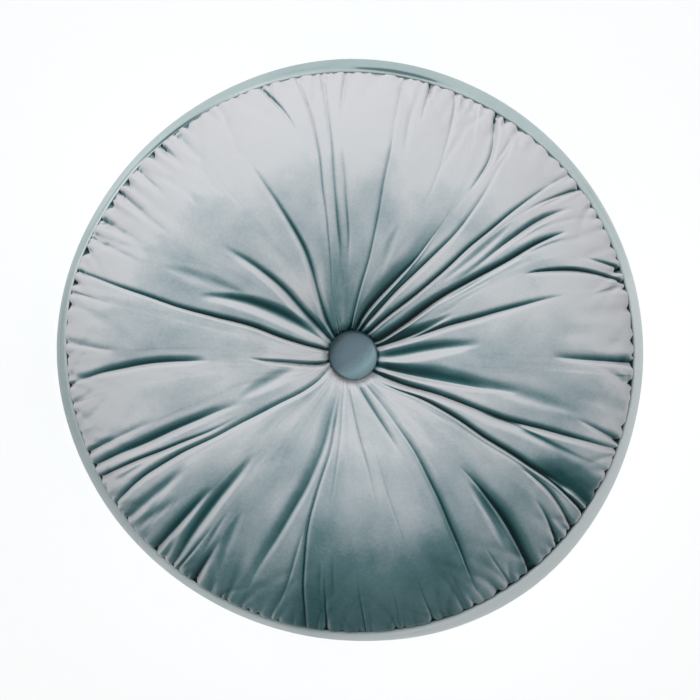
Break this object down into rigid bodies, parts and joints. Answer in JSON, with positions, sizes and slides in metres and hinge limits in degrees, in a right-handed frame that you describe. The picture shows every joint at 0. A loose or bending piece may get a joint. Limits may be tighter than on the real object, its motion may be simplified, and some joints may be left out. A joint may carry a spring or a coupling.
{
  "type": "pleated round cushion",
  "caption": "Round boxed scatter cushion: gathered velvet front drawn down to a covered button, smooth side band and plain back.",
  "frame": {"origin": "middle of the cushion's outline, on the surface that its back rests on", "axes": "+Z out of the pleated front face, +X to the right and +Y up as the front face is seen"},
  "size_m": [0.4008, 0.3976, 0.1054],
  "materials": {
    "face_velvet": "short pile velvet, grey teal, crushed in the gathers",
    "band_velvet": "short pile velvet, smooth, pale against the light",
    "button_velvet": "short pile velvet pulled tight over a button mould"
  },
  "bodies": {
    "root": {"filled_cushion": "face_velvet", "side_band": "band_velvet", "front_button": "button_velvet"}
  },
  "joints": []
}
